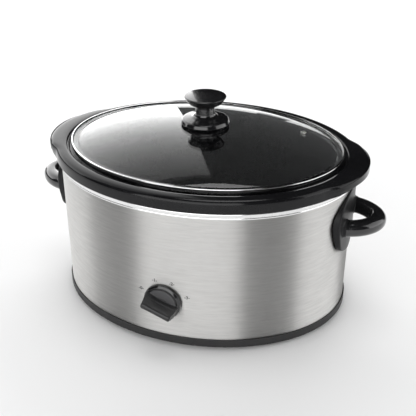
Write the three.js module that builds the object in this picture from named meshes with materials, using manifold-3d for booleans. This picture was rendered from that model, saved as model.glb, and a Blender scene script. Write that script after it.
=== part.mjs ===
// Oval slow cooker in millimetres, +Z up, control knob facing -Y, X along the oval.
// The origin is the middle of the whole object's outline, on the surface it stands on.

import * as THREE from 'three';
import { mergeVertices } from 'three/addons/utils/BufferGeometryUtils.js';
import Module from 'manifold-3d';

const wasm = await Module();
wasm.setup();

// ---- facets and gaps ----
const ovalSteps = 48; // facets round every oval piece, a multiple of four
const turnSteps = 16; // facets round a small turned piece
const gap = 0.4; // clearance between pieces that touch

// ---- overall sizes ----
const ovalExtra = 33.5; // half length minus half depth, the same on every oval outline
const bodyHalfDepth = 132; // steel wall at its lower edge
const wallFlare = 1.3; // how much further out the wall is at its upper edge
const bodyHeight = 165.9; // top of the trim ring above the table
const knobRise = 32.3; // top of the lid knob above the glass
const handleOut = 40; // tip of a side handle beyond the foot of the wall

// ---- housing ----
const footHeight = 4.6;
const footRadius = 9;
const footInset = 38; // foot centre in from the wall, along the diagonal
const footAngle = 38; // degrees round from the X axis
const trayThick = 2;
const trayEdgeDrop = 0.7; // lower edge of the base band below the tray's floor
const bandProud = 1.65; // base band outside the foot of the wall
const bandTop = 14;
const wallThick = 0.8;
const wallLedge = 6.5; // inward flange at the top of the wall
const wallTurnIn = 9; // inward flange at its foot
const trimThick = 1;
const trimLip = 7.2; // how far the trim ring hangs down over the wall
const trimWidth = 11; // flat top of the trim ring
const wellThick = 1;
const neckInset = 13.8; // crock neck in from the top of the wall

// ---- crock ----
const crockGap = 2; // air between the crock and the heating well
const crockWall = 7;
const crockBottom = 26;
const crockHeel = 50; // height where the straight side starts
const crockTaper = 14.5; // how much narrower the side is at the heel
const rimOverhang = 5.2; // rim outside the top of the wall
const rimHeight = 15.8;
const rimTopWidth = 15.2; // from the outside of the rim to the lid recess
const recessDepth = 5.4;
const ledgeWidth = 9.6;
const earLength = 10.2; // lug at each end of the rim
const earHalfWidth = 66;
const earPower = 0.6;
const earLift = 4.5; // how much the underside rises at the tip of a lug

// ---- lid ----
const lidGap = 2.6; // between the recess of the crock and the lid band
const lidBandHeight = 8.2;
const lidBandThick = 0.8;
const lidFlange = 1;
const glassThick = 4;
const glassRise = 22;
const ventRadius = 1.9;
const ventFlange = 1.3; // eyelet's flange past its neck
const ventPlace = [103, 34];
const knobDiscRadius = 23.1;
const knobDiscHeight = 9.5;
const knobNeckRadius = 10.3;
const knobFlangeRadius = 27;
const knobFlangeHeight = 5.4;
const lidScrewRadius = 2;

// ---- side handles ----
const handleDrop = 47.3; // centre line below the top of the trim ring
const handleBarTall = 16.6;
const handleBarWide = 18.6;
const handleHalfWidth = 29; // centre line of the loop, where it meets the plate
const handleRoundness = 1.8; // exponent of the loop's plan curve
const plateProud = 1.8; // escutcheon plate outside the wall at its middle
const plateBow = 4.7; // how far its face falls back at the sides
const plateHalfWidth = 48;
const plateTop = 39; // above the handle's centre line
const plateBottom = -37;
const handleScrewRadius = 2;
const handleScrewHead = 4;
const backingThick = 1.5; // steel strip behind the wall
const backingTall = 22;
const backingPastScrew = 12; // strip past each screw

// ---- control knob ----
const selectorHeight = 56.7;
const selectorRadius = 20.4;
const selectorReach = 25; // front of the grip from the wall
const gripWide = 15.5; // at its root, at the ends
const gripWaist = 11; // between the finger scoops at its middle
const scoopRadius = 60;
const gripNose = 8.8; // where its rounded front begins
const gripNoseLong = 6;
const gripEndTaper = 3; // how much shorter the grip is at its front, each end
const shaftRadius = 3;
const offAngle = -70; // rest position of the grip, degrees clockwise from the top
const bushRadius = 4.6;
const switchWide = 32;
const switchTall = 30;
const switchDeep = 15.5;
const skirtHeight = 7.4; // round part of the knob
const knobOffWall = 0.9; // air behind the knob
const clipHigh = 3.2;
const shaftFoot = 7; // shaft's inner end from the back of the switch
const shaftInKnob = 16;

// ---- parts inside the housing ----
const heaterLow = 54;
const heaterHigh = 96;
const heaterThick = 2.5;
const feltThick = 5;
const heaterOpening = 46; // open width at the front, behind the switch
const studRadius = 3;
const cordRadius = 3.75; // hole for the supply cord
const glandHeight = 26;
const glandInside = 12; // how far the gland reaches in past the wall
const blockInset = 28; // back of the terminal block in from the foot of the wall
const blockDeep = 12;
const blockTall = 11;
const poleRadius = 2.2;
const polePlaces = [-41, -32, -23]; // the three poles of the terminal block
const blockEdge = 5; // block past its outer poles
const leadRadius = 1.3;

// ---- heights that follow ----
const trayFloor = footHeight + gap;
const wallFoot = trayFloor + trayThick + gap;
const wallTop = bodyHeight - trimThick - gap - wellThick - gap;
const wellBottom = crockBottom - crockGap - wellThick;
const rimUnderside = bodyHeight + gap;
const rimTop = bodyHeight + rimHeight;
const ledgeHeight = rimTop - recessDepth;
const wallTopB = bodyHalfDepth + wallFlare;
const neckB = wallTopB - neckInset;
const rimB = wallTopB + rimOverhang;
const recessB = rimB - rimTopWidth;
const lidB = recessB - lidGap;
const glassB = lidB - lidBandThick - gap;
const lidFoot = ledgeHeight + gap;
const lidBandTop = lidFoot + lidBandHeight;
const glassEdgeTop = lidBandTop - lidBandThick - gap;
const glassTop = glassEdgeTop + glassRise;
const lidTopHeight = glassTop + knobRise;
const handleHeight = bodyHeight - handleDrop;
const handleReach = bodyHalfDepth + ovalExtra + handleOut;
const selectorFace = bodyHalfDepth + wallFlare * (selectorHeight - wallFoot) / (wallTop - wallFoot);
const frontReach = selectorFace + selectorReach;
const centreShift = (frontReach - rimB) / 2; // puts the origin in the middle of the outline

/** Half depth of the wall's outer face at a height. */
function wallB(z) {
  const share = (z - wallFoot) / (wallTop - wallFoot);
  return bodyHalfDepth + wallFlare * share;
}

/** Where the wall's outer face, moved outwards by an offset, lies at a distance from the X axis. */
function wallX(y, z, offset = 0) {
  const halfDepth = wallB(z) + offset;
  return (halfDepth + ovalExtra) * Math.sqrt(1 - (y / halfDepth) ** 2);
}

/** Half depth of the crock's side at a height above the heel. */
function crockB(z) {
  const share = (rimUnderside - z) / (rimUnderside - crockHeel);
  return neckB - crockTaper * share;
}

// ---- materials ----
function finish(color, roughness, metalness, extra = {}) {
  return new THREE.MeshStandardMaterial({ color, roughness, metalness, ...extra });
}

const brushedSteel = finish(0xc4c1bc, 0.35, 1);
const polishedSteel = finish(0xe6e6e4, 0.12, 1);
const platedSteel = finish(0xb8b8b0, 0.3, 1);
const wellAluminium = finish(0x9d9d9a, 0.45, 1);
const blackStoneware = finish(0x101011, 0.12, 0);
const blackPlastic = finish(0x0d0d0e, 0.22, 0);
const matteBlack = finish(0x242426, 0.6, 0);
const blackRubber = finish(0x161616, 0.85, 0);
const clearGlass = finish(0xdfe8e6, 0.05, 0, { transparent: true, opacity: 0.35 });
const mica = finish(0xc9b98f, 0.7, 0);
const greyFelt = finish(0xa8a69f, 0.95, 0);
const whiteCeramic = finish(0xe9e6dd, 0.5, 0);
const brass = finish(0xc9a24b, 0.3, 1);
const wireInsulation = finish(0xd8d4c8, 0.6, 0);

// ---- shape helpers ----
/** Turns a profile of [radius, height] points, listed anticlockwise, round the Z axis. */
function turned(profile, steps = turnSteps) {
  const points = profile.map(([radius, height]) => new THREE.Vector2(radius, height));
  if (points[0].x > 0) {
    points.push(points[0].clone());
  }
  const geometry = new THREE.LatheGeometry(points, steps);
  geometry.rotateX(Math.PI / 2);
  return geometry;
}

/** Keeps the whole ovalExtra outside this radius and fades it to nothing at the axis. */
function stretchAt(radius) {
  const fadeRadius = 60;
  return ovalExtra * Math.min(1, radius / fadeRadius);
}

/** Turns a profile of [half depth, height] points into an oval piece. */
function oval(profile, stretch = stretchAt) {
  const geometry = turned(profile, ovalSteps);
  const position = geometry.attributes.position;
  for (let i = 0; i < position.count; i += 1) {
    const x = position.getX(i);
    const radius = Math.hypot(x, position.getY(i));
    if (radius > 0) {
      position.setX(i, x * (1 + stretch(radius) / radius));
    }
  }
  return geometry;
}

/** The volume inside the wall's outer face moved outwards by an offset. */
function wallVolume(offset, low = wallFoot, high = wallTop) {
  return oval([[0, low], [wallB(low) + offset, low], [wallB(high) + offset, high], [0, high]]);
}

function box([x0, x1], [y0, y1], [z0, z1]) {
  const geometry = new THREE.BoxGeometry(x1 - x0, y1 - y0, z1 - z0);
  geometry.translate((x0 + x1) / 2, (y0 + y1) / 2, (z0 + z1) / 2);
  return geometry;
}

/** Moves a piece modelled along +Z so that it points along a direction from a place. */
function placed(geometry, place, direction = [0, 0, 1]) {
  const turn = new THREE.Quaternion();
  turn.setFromUnitVectors(new THREE.Vector3(0, 0, 1), new THREE.Vector3(...direction));
  geometry.applyQuaternion(turn);
  geometry.translate(...place);
  return geometry;
}

function rod(radius, length, place, direction, steps = turnSteps) {
  return placed(turned([[0, 0], [radius, 0], [radius, length], [0, length]], steps), place, direction);
}

function ring(inner, outer, low, high, steps = turnSteps) {
  return turned([[inner, low], [outer, low], [outer, high], [inner, high]], steps);
}

function polygon(radius, sides, squash = 1) {
  const corners = [];
  for (let i = 0; i < sides; i += 1) {
    const angle = (2 * Math.PI * i) / sides;
    corners.push(new THREE.Vector2(radius * Math.cos(angle), radius * squash * Math.sin(angle)));
  }
  return new THREE.Shape(corners);
}

function prism(shape, low, high) {
  const geometry = new THREE.ExtrudeGeometry(shape, { depth: high - low, bevelEnabled: false });
  geometry.translate(0, 0, low);
  return geometry;
}

function swept(shape, path, steps) {
  return new THREE.ExtrudeGeometry(shape, { steps, extrudePath: path, bevelEnabled: false });
}

// ---- joining and cutting ----
function toSolid(geometry) {
  const bare = geometry.clone();
  bare.deleteAttribute('normal');
  bare.deleteAttribute('uv');
  const merged = mergeVertices(bare);
  const corners = merged.index.array;
  const triVerts = [];
  for (let i = 0; i < corners.length; i += 3) {
    const [a, b, c] = [corners[i], corners[i + 1], corners[i + 2]];
    if (a !== b && b !== c && c !== a) {
      triVerts.push(a, b, c);
    }
  }
  const vertProperties = new Float32Array(merged.attributes.position.array);
  return new wasm.Manifold(new wasm.Mesh({
    numProp: 3, vertProperties, triVerts: new Uint32Array(triVerts),
  }));
}

function toGeometry(solid) {
  const mesh = solid.getMesh();
  const geometry = new THREE.BufferGeometry();
  geometry.setAttribute('position', new THREE.BufferAttribute(new Float32Array(mesh.vertProperties), 3));
  geometry.setIndex(new THREE.BufferAttribute(new Uint32Array(mesh.triVerts), 1));
  geometry.computeVertexNormals();
  return geometry;
}

function cut(geometry, ...tools) {
  return toGeometry(tools.reduce((solid, tool) => solid.subtract(toSolid(tool)), toSolid(geometry)));
}

function join(geometry, ...others) {
  return toGeometry(others.reduce((solid, other) => solid.add(toSolid(other)), toSolid(geometry)));
}

function common(geometry, other) {
  return toGeometry(toSolid(geometry).intersect(toSolid(other)));
}

// ---- the assembly ----
const cooker = new THREE.Group();
cooker.position.y = centreShift;

function add(name, geometry, material) {
  const mesh = new THREE.Mesh(geometry, material);
  mesh.name = name;
  cooker.add(mesh);
  return mesh;
}

// ---- feet and base tray ----
const footDirection = THREE.MathUtils.degToRad(footAngle);
const footX = (bodyHalfDepth + ovalExtra - footInset) * Math.cos(footDirection);
const footY = (bodyHalfDepth - footInset) * Math.sin(footDirection);
const footPlaces = [
  ['front_right', footX, -footY],
  ['front_left', -footX, -footY],
  ['rear_right', footX, footY],
  ['rear_left', -footX, footY],
];
const footScrewRadius = 2;
const footScrewHead = 4;
const footFloor = 1.8; // rubber left above the counterbore

function addFeet() {
  for (const [corner, x, y] of footPlaces) {
    const foot = turned([
      [footScrewHead + gap, 0], [footRadius - 1.2, 0], [footRadius, 1], [footRadius, footHeight],
      [footScrewRadius + gap, footHeight], [footScrewRadius + gap, footHeight - footFloor],
      [footScrewHead + gap, footHeight - footFloor],
    ]);
    add(`foot_${corner}`, placed(foot, [x, y, 0]), blackRubber);
    const headTop = footHeight - footFloor - gap;
    const screw = turned([
      [0, headTop - 2], [footScrewHead - 0.6, headTop - 2], [footScrewHead, headTop - 1.2],
      [footScrewHead, headTop], [footScrewRadius, headTop], [footScrewRadius, wallFoot + 4],
      [0, wallFoot + 4],
    ], 10);
    add(`foot_screw_${corner}`, placed(screw, [x, y, 0]), platedSteel);
  }
}

function addBaseTray() {
  const bandB = bodyHalfDepth + bandProud;
  const tray = oval([
    [0, trayFloor], [bandB - 2.4, trayFloor], [bandB - 1, trayFloor - trayEdgeDrop], [bandB, trayFloor + 0.3],
    [bandB, bandTop - 0.7], [bandB - 0.6, bandTop], [wallB(bandTop) + gap, bandTop],
    [wallB(wallFoot) + gap, trayFloor + trayThick], [0, trayFloor + trayThick],
  ]);
  const holes = footPlaces.map(([, x, y]) => (
    rod(footScrewRadius + gap, trayThick * 3, [x, y, trayFloor - trayThick])
  ));
  const studHole = rod(studRadius + gap, trayThick * 3, [0, 0, trayFloor - trayThick]);
  add('base_tray', cut(tray, studHole, ...holes), matteBlack);
}

// ---- steel wall ----
const handleScrewSides = [['front', -handleHalfWidth], ['rear', handleHalfWidth]];

function addOuterShell() {
  const shell = oval([
    [wallB(wallFoot) - wallTurnIn, wallFoot], [wallB(wallFoot), wallFoot], [wallB(wallTop), wallTop],
    [wallB(wallTop) - wallLedge, wallTop], [wallB(wallTop) - wallLedge, wallTop - wallThick],
    [wallB(wallTop) - wallThick, wallTop - wallThick], [wallB(wallFoot) - wallThick, wallFoot + wallThick],
    [wallB(wallFoot) - wallTurnIn, wallFoot + wallThick],
  ]);
  const across = 2 * (bodyHalfDepth + ovalExtra + 10);
  const handleHoles = handleScrewSides.map(([, y]) => (
    rod(handleScrewRadius + gap, across, [-across / 2, y, handleHeight], [1, 0, 0])
  ));
  const bushHole = rod(bushRadius + gap, 30, [0, -bodyHalfDepth + 15, selectorHeight], [0, -1, 0]);
  const glandHole = rod(glandBodyRadius + gap, 30, [0, bodyHalfDepth - 15, glandHeight], [0, 1, 0]);
  add('outer_shell', cut(shell, bushHole, glandHole, ...handleHoles), brushedSteel);
}

function addTrimRing() {
  const inner = wallTopB + gap;
  const outer = inner + trimThick;
  add('trim_ring', oval([
    [inner, bodyHeight - trimLip], [outer, bodyHeight - trimLip], [outer, bodyHeight - 0.9],
    [outer - 0.9, bodyHeight], [outer - trimWidth, bodyHeight], [outer - trimWidth, bodyHeight - trimThick],
    [inner, bodyHeight - trimThick],
  ]), polishedSteel);
}

// ---- heating well, its heater band and felt ----
const wellOffset = crockGap + wellThick;

function addHeatingWell() {
  const flangeTop = wallTop + gap + wellThick;
  const mouth = crockB(wallTop);
  const floorB = crockB(crockHeel) - 21;
  const heelB = crockB(crockHeel) - 7;
  const outerSide = crockB(crockHeel) + wellOffset;
  add('heating_well', oval([
    [0, wellBottom], [floorB + wellOffset, wellBottom], [heelB + wellOffset, crockHeel - 16 - 2],
    [outerSide, crockHeel], [mouth + wellOffset, wallTop + gap],
    [wallTopB - wallThick - gap, wallTop + gap], [wallTopB - wallThick - gap, flangeTop],
    [mouth + crockGap, flangeTop], [crockB(crockHeel) + crockGap, crockHeel],
    [heelB + crockGap, crockHeel - 16 - 1.4], [floorB + crockGap, wellBottom + wellThick],
    [0, wellBottom + wellThick],
  ]), wellAluminium);
}

/** A band that hugs the sloping side of the heating well, open at the front. */
function wellBand(offset, thick, low, high) {
  const innerLow = crockB(low) + wellOffset + offset;
  const innerHigh = crockB(high) + wellOffset + offset;
  const band = oval([
    [innerLow, low], [innerLow + thick, low], [innerHigh + thick, high], [innerHigh, high],
  ]);
  const front = [-bodyHalfDepth, -bodyHalfDepth / 2];
  return cut(band, box([-heaterOpening / 2, heaterOpening / 2], front, [low - 5, high + 5]));
}

function addHeater() {
  add('heater_band', wellBand(gap, heaterThick, heaterLow, heaterHigh), mica);
  const feltOffset = gap + heaterThick + gap;
  add('heater_felt', wellBand(feltOffset, feltThick, heaterLow - 3, heaterHigh + 8), greyFelt);
}

// ---- spring tie that pulls the well down on the tray ----
class Helix extends THREE.Curve {
  constructor(radius, low, high, turns) {
    super();
    Object.assign(this, { radius, low, high, turns });
  }

  getPoint(t, target = new THREE.Vector3()) {
    const angle = 2 * Math.PI * this.turns * t;
    const height = this.low + (this.high - this.low) * t;
    return target.set(this.radius * Math.cos(angle), this.radius * Math.sin(angle), height);
  }
}

function addTie() {
  const flangeTop = wellBottom - gap;
  const stud = turned([
    [0, footHeight - 3.4], [studRadius, footHeight - 3.4], [studRadius, flangeTop - 1.2],
    [10, flangeTop - 1.2], [10, flangeTop], [0, flangeTop],
  ]);
  add('liner_stud', stud, platedSteel);
  const wire = 0.8;
  const springLow = trayFloor + trayThick + gap + wire + 0.2;
  const springHigh = flangeTop - 1.2 - gap - wire - 0.2;
  const spring = swept(polygon(wire, 6), new Helix(studRadius + 2.6, springLow, springHigh, 3), 30);
  add('tie_spring', spring, platedSteel);
  const washerTop = trayFloor - gap;
  add('tie_washer', ring(studRadius + gap, 8.5, washerTop - 0.8, washerTop), platedSteel);
  const nutTop = washerTop - 0.8 - gap;
  const nut = cut(prism(polygon(5.8, 6), nutTop - 2.2, nutTop), rod(studRadius + gap, 8, [0, 0, nutTop - 5]));
  add('tie_nut', nut, platedSteel);
}

// ---- selector switch, its shaft and the control knob ----
const switchFront = -(selectorFace - wallThick - gap - 0.8);
const knobBack = -(selectorFace + knobOffWall);
const boreRadius = shaftRadius + gap;

function addSwitch() {
  const back = switchFront + switchDeep;
  const case_ = box(
    [-switchWide / 2, switchWide / 2], [switchFront, back],
    [selectorHeight - switchTall / 2, selectorHeight + switchTall / 2],
  );
  const bush = rod(bushRadius, 7, [0, switchFront + 1, selectorHeight], [0, -1, 0]);
  const pocket = rod(boreRadius, 30, [0, back - 6, selectorHeight], [0, -1, 0]);
  add('selector_switch', cut(join(case_, bush), pocket), whiteCeramic);
  const nutBack = -(selectorFace + gap);
  const nut = cut(prism(polygon(7.6, 6), 0, 2.4), rod(bushRadius + gap, 10, [0, 0, -3]));
  add('switch_nut', placed(nut, [0, nutBack, selectorHeight], [0, -1, 0]), brass);
}

function addSelector() {
  const shaftStart = switchFront + switchDeep - shaftFoot;
  const shaftLength = -knobBack + shaftInKnob + shaftStart;
  const shaft = turned([
    [0, 0], [shaftRadius, 0], [shaftRadius, shaftLength - 0.6], [shaftRadius - 0.6, shaftLength],
    [0, shaftLength],
  ]);
  add('switch_shaft', placed(shaft, [0, shaftStart, selectorHeight], [0, -1, 0]), platedSteel);

  const skirt = turned([
    [0, 5], [12, 5], [selectorRadius - 2.2, 0], [selectorRadius, 0], [selectorRadius, skirtHeight - 1.6],
    [selectorRadius - 1.6, skirtHeight], [0, skirtHeight],
  ], 28);
  const noseLow = selectorReach - knobOffWall - gripNoseLong;
  const section = new THREE.Shape();
  section.moveTo(-gripWide / 2, skirtHeight - 0.6);
  section.lineTo(gripWide / 2, skirtHeight - 0.6);
  section.lineTo(gripNose / 2, noseLow);
  section.absellipse(0, noseLow, gripNose / 2, gripNoseLong, 0, Math.PI, false);
  const grip = prism(section, -selectorRadius, selectorRadius);
  // The section is drawn across the grip and outwards, then laid along the knob's face.
  grip.rotateX(Math.PI / 2);
  const endRadius = selectorRadius - 0.6;
  const ends = turned([
    [0, 0], [endRadius, 0], [endRadius, skirtHeight], [endRadius - gripEndTaper, selectorReach],
    [0, selectorReach],
  ], 28);
  const scoopAxis = scoopRadius + gripWaist / 2;
  const scoops = [-scoopAxis, scoopAxis].map((x) => (
    rod(scoopRadius, selectorReach, [x, 0, skirtHeight - 0.6], [0, 0, 1], 96)
  ));
  const bar = cut(common(grip, ends), ...scoops);
  const clipBore = rod(shaftRadius + gap + 1.2, 7, [0, 0, 2], [0, 0, 1]);
  const shaftBore = rod(boreRadius, 18.5, [0, 0, -2], [0, 0, 1]);
  const knob = cut(join(skirt, bar), clipBore, shaftBore);
  knob.rotateZ(THREE.MathUtils.degToRad(-offAngle));
  add('control_knob', placed(knob, [0, knobBack, selectorHeight], [0, -1, 0]), blackPlastic);

  const clipLow = 5.4;
  const clip = cut(
    ring(shaftRadius + 0.35, shaftRadius + gap + 0.8, clipLow, clipLow + clipHigh),
    box([-1.2, 1.2], [0, 10], [0, 20]),
  );
  add('knob_clip', placed(clip, [0, knobBack, selectorHeight], [0, -1, 0]), platedSteel);
}

// ---- supply: cord gland, terminal block, thermal fuse and internal leads ----
const glandBodyRadius = cordRadius + 2.6;
const glandFlange = 3.2;

const blockFront = bodyHalfDepth - blockInset - blockDeep;

function addSupply() {
  const wallInner = wallB(glandHeight) - wallThick;
  const start = wallInner - glandInside;
  const length = wallB(glandHeight) + gap + glandFlange - start;
  const gland = turned([
    [cordRadius, 0], [glandBodyRadius, 0], [glandBodyRadius, length - glandFlange],
    [glandBodyRadius + 3.4, length - glandFlange], [glandBodyRadius + 3, length - 0.8],
    [glandBodyRadius + 1.8, length], [cordRadius, length],
  ]);
  add('cord_gland', placed(gland, [0, start, glandHeight], [0, 1, 0]), blackPlastic);
  const nut = cut(prism(polygon(glandBodyRadius + 4, 6), 0, 4), rod(glandBodyRadius + gap, 10, [0, 0, -3]));
  add('gland_nut', placed(nut, [0, wallInner - 1.2, glandHeight], [0, -1, 0]), blackPlastic);

  const blockFoot = trayFloor + trayThick + gap;
  const blockEnds = [polePlaces[0] - blockEdge, polePlaces[2] + blockEdge];
  const poleHeight = blockFoot + blockTall / 2;
  const block = cut(
    box(blockEnds, [blockFront, blockFront + blockDeep], [blockFoot, blockFoot + blockTall]),
    ...polePlaces.map((x) => rod(poleRadius, blockDeep + 8, [x, blockFront - 4, poleHeight], [0, 1, 0], 12)),
  );
  add('terminal_block', block, whiteCeramic);
  const fuse = turned([[0, 0], [1.2, 0], [3, 2], [3, 18], [1.2, 20], [0, 20]], 12);
  add('thermal_fuse', placed(fuse, [30, 40, wellBottom - gap - 3], [0, 1, 0]), platedSteel);
}

/** Leads that run between the tray and the floor of the well, ends clear of what they serve. */
function addLeads() {
  const laid = trayFloor + trayThick + 4.5;
  const low = selectorHeight - switchTall / 2;
  const behindSwitch = switchFront + switchDeep / 2;
  const rise = laid + 8;
  const end = low - 1.8;
  const start = blockFront - 2;
  const [live, lowHeat, highHeat] = polePlaces;
  const tagSpacing = 11; // between the tags under the switch
  const routes = {
    lead_live: [[live, start, laid + 2], [live - 1, start - 30, laid], [-40, -20, laid],
      [-26, behindSwitch + 36.7, laid], [-tagSpacing, behindSwitch, rise], [-tagSpacing, behindSwitch, end]],
    lead_low: [[lowHeat, start, laid + 2], [lowHeat + 1, start - 30, laid], [-28, -20, laid],
      [-14, behindSwitch + 34.7, laid], [0, behindSwitch, rise], [0, behindSwitch, end]],
    lead_high: [[highHeat, start, laid + 2], [highHeat + 2, start - 30, laid], [-17, -20, laid],
      [-2, behindSwitch + 32.7, laid], [tagSpacing, behindSwitch, rise], [tagSpacing, behindSwitch, end]],
  };
  for (const [name, route] of Object.entries(routes)) {
    const path = new THREE.CatmullRomCurve3(route.map((point) => new THREE.Vector3(...point)));
    add(name, swept(polygon(leadRadius, 6), path, 14), wireInsulation);
  }
}

// ---- side handles ----
/** Plan curve of the loop: a straight root, the round loop and the other root. */
class HandleLoop extends THREE.Curve {
  getPoint(t, target = new THREE.Vector3()) {
    const straight = 0.12; // share of the curve that each straight root takes
    const rootLength = 14;
    const start = wallX(handleHalfWidth, handleHeight) + 1;
    const side = t < 0.5 ? 1 : -1;
    const fromEnd = Math.min(t, 1 - t);
    if (fromEnd < straight) {
      const x = start - rootLength * (1 - fromEnd / straight);
      return target.set(x, side * handleHalfWidth, handleHeight);
    }
    const angle = (Math.PI / 2) * (1 - (fromEnd - straight) / (0.5 - straight));
    const power = 2 / handleRoundness;
    const out = (handleReach - handleBarWide / 2 - start) * Math.cos(angle) ** power;
    return target.set(start + out, side * handleHalfWidth * Math.sin(angle) ** power, handleHeight);
  }
}

function plateOutline() {
  const upper = new THREE.SplineCurve([
    new THREE.Vector2(-plateHalfWidth, 12),
    new THREE.Vector2(-plateHalfWidth + 7, 26),
    new THREE.Vector2(-plateHalfWidth / 2, plateTop - 4),
    new THREE.Vector2(0, plateTop),
    new THREE.Vector2(plateHalfWidth / 2, plateTop - 4),
    new THREE.Vector2(plateHalfWidth - 7, 26),
    new THREE.Vector2(plateHalfWidth, 12),
  ]);
  const lower = new THREE.SplineCurve([
    new THREE.Vector2(plateHalfWidth, 12),
    new THREE.Vector2(plateHalfWidth - 4, -8),
    new THREE.Vector2(plateHalfWidth - 15, plateBottom + 11),
    new THREE.Vector2(0, plateBottom),
    new THREE.Vector2(-plateHalfWidth + 15, plateBottom + 11),
    new THREE.Vector2(-plateHalfWidth + 4, -8),
    new THREE.Vector2(-plateHalfWidth, 12),
  ]);
  return new THREE.Shape([...upper.getPoints(14).slice(0, -1), ...lower.getPoints(14).slice(0, -1)]);
}

/** The plate's depth seen from above: a gentle bow, flatter than the wall behind it. */
function plateDepth() {
  const middle = wallX(0, handleHeight) + plateProud;
  const steps = 6;
  const points = [new THREE.Vector2(0, -plateHalfWidth - 1), new THREE.Vector2(0, plateHalfWidth + 1)];
  for (let i = steps; i >= -steps; i -= 1) {
    const share = i / steps;
    points.push(new THREE.Vector2(middle - plateBow * share ** 2, share * (plateHalfWidth + 1)));
  }
  return new THREE.Shape(points.reverse());
}

function handleGeometry() {
  const shield = prism(plateOutline(), 0, handleReach);
  // The outline is drawn with y to the right and height up, then stood against the end wall.
  shield.applyMatrix4(new THREE.Matrix4().set(0, 0, 1, 0, 1, 0, 0, 0, 0, 1, 0, handleHeight, 0, 0, 0, 1));
  const depth = prism(plateDepth(), handleHeight + plateBottom - 2, handleHeight + plateTop + 2);
  const plate = common(shield, depth);
  const bar = swept(polygon(handleBarTall / 2, 12, handleBarWide / handleBarTall), new HandleLoop(), 22);
  const holes = handleScrewSides.map(([, y]) => (
    rod(handleScrewRadius + 0.3, 9, [wallX(y, handleHeight) - 1, y, handleHeight], [1, 0, 0], 12)
  ));
  return cut(join(plate, bar), wallVolume(gap), ...holes);
}

function addHandles() {
  const right = handleGeometry();
  add('right_handle', right, blackPlastic);
  add('left_handle', right.clone().rotateZ(Math.PI), blackPlastic);

  const backFace = -wallThick - gap;
  const backHalf = handleHalfWidth + backingPastScrew;
  const backHeights = [handleHeight - backingTall / 2, handleHeight + backingTall / 2];
  const slab = box([0, handleReach], [-backHalf, backHalf], backHeights);
  const holes = handleScrewSides.map(([, y]) => (
    rod(handleScrewRadius + gap, handleReach, [0, y, handleHeight], [1, 0, 0], 12)
  ));
  const backing = cut(common(slab, wallVolume(backFace)), wallVolume(backFace - backingThick), ...holes);
  for (const [side, turn] of [['right', 0], ['left', Math.PI]]) {
    add(`${side}_handle_backing`, backing.clone().rotateZ(turn), platedSteel);
    for (const [end, y] of handleScrewSides) {
      const inner = backFace - backingThick - gap;
      const headFace = wallX(Math.abs(y) + handleScrewHead, handleHeight, inner);
      const tip = wallX(y, handleHeight) + 6 - headFace;
      const screw = turned([
        [0, -2], [handleScrewHead - 0.6, -2], [handleScrewHead, -1], [handleScrewHead, 0],
        [handleScrewRadius, 0], [handleScrewRadius, tip], [0, tip],
      ], 10);
      placed(screw, [headFace, y, handleHeight], [1, 0, 0]);
      add(`${side}_handle_screw_${end}`, screw.rotateZ(turn), platedSteel);
    }
  }
}

// ---- crock ----
function addCrock() {
  const side = crockB(crockHeel);
  // Half depth, height, share of the lug's length and share of the lift of its underside.
  const profile = [
    [0, crockBottom], [side - 24, crockBottom], [side - 17, crockBottom + 2], [side - 7, crockHeel - 15],
    [side, crockHeel], [crockB(rimUnderside - 6), rimUnderside - 6],
    [neckB + 1.6, rimUnderside], [rimB - 0.9, rimUnderside, 0.6, 1], [rimB, rimUnderside + 1.2, 0.72, 1],
    [rimB, rimUnderside + 6.6, 0.97, 0.5], [rimB - 0.3, rimTop - 4.6, 1], [rimB - 1.5, rimTop - 2.2, 1],
    [rimB - 4, rimTop - 0.7, 0.95], [rimB - 10, rimTop, 0.4], [recessB + 0.9, rimTop - 0.2],
    [recessB, rimTop - 1.1], [recessB, ledgeHeight + 0.5], [recessB - 0.5, ledgeHeight],
    [recessB - ledgeWidth, ledgeHeight], [neckB - crockWall - 0.4, ledgeHeight - 1.2],
    [neckB - crockWall - 0.9, ledgeHeight - 6], [side - crockWall, crockHeel],
    [side - crockWall - 2, crockHeel - 7], [side - crockWall - 9, crockHeel - 14],
    [side - crockWall - 22, crockBottom + crockWall + 0.4], [0, crockBottom + crockWall],
  ];
  const crock = oval(profile);
  const position = crock.attributes.position;
  for (let i = 0; i < position.count; i += 1) {
    const [, , length = 0, lift = 0] = profile[i % profile.length];
    const y = position.getY(i);
    if (length > 0 && Math.abs(y) < earHalfWidth) {
      const bulge = (1 - (y / earHalfWidth) ** 2) ** earPower;
      position.setX(i, position.getX(i) + Math.sign(position.getX(i)) * earLength * bulge * length);
      position.setZ(i, position.getZ(i) + earLift * bulge * lift);
    }
  }
  add('stoneware_crock', crock, blackStoneware);
}

// ---- lid ----
/** Scales the glass dome's outline evenly, so that its edge meets the oval band. */
function domeStretch(radius) {
  return (radius * ovalExtra) / glassB;
}

/** Height of the upper face of the dome at a share of the way from the middle to its edge. */
function domeHeight(share) {
  const edge = 0.955; // flat land inside the band
  const inside = Math.min(1, share / edge);
  return glassEdgeTop + glassRise * (1 - inside ** 2) ** 0.92;
}

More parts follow.
